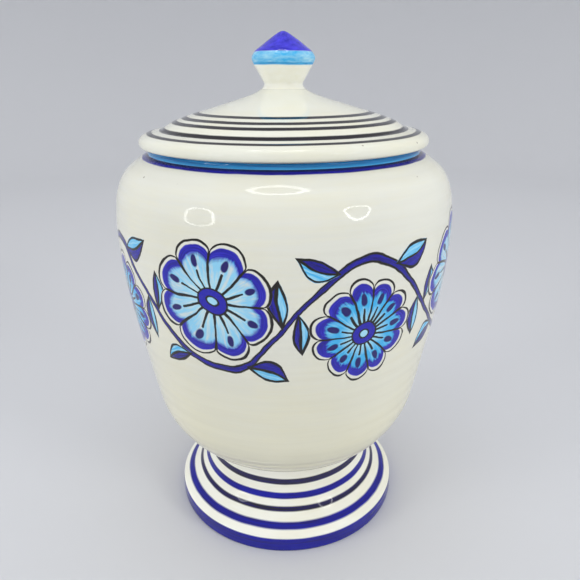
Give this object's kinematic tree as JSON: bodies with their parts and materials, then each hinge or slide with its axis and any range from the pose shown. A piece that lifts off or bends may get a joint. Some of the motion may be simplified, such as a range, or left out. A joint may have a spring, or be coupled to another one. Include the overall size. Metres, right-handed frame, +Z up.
{
  "type": "lidded canister",
  "caption": "Round glazed earthenware canister on a flared pedestal foot, with a loose domed lid that drops into the neck on a locating ring and lifts off by a pointed knob.",
  "frame": {"origin": "centre of the foot ring, on the surface that the canister stands on", "axes": "+Z up along the axis of the canister, +X and +Y across it"},
  "size_m": [0.2052, 0.2052, 0.3067],
  "materials": {
    "tin_white_glaze": "glossy off-white glaze with cobalt and sky-blue brushwork",
    "cobalt_glaze": "glossy cobalt crown over a sky-blue band on a white stem"
  },
  "bodies": {
    "jar": {"jar_body": "tin_white_glaze", "pedestal_foot": "tin_white_glaze"},
    "lid": {"lid_dome": "tin_white_glaze", "lid_knob": "cobalt_glaze"}
  },
  "joints": [
    {"name": "lid_lift", "type": "slide", "parent": "jar", "child": "lid", "axis": [0, 0, 1], "range_m": [0, 0.15]}
  ]
}
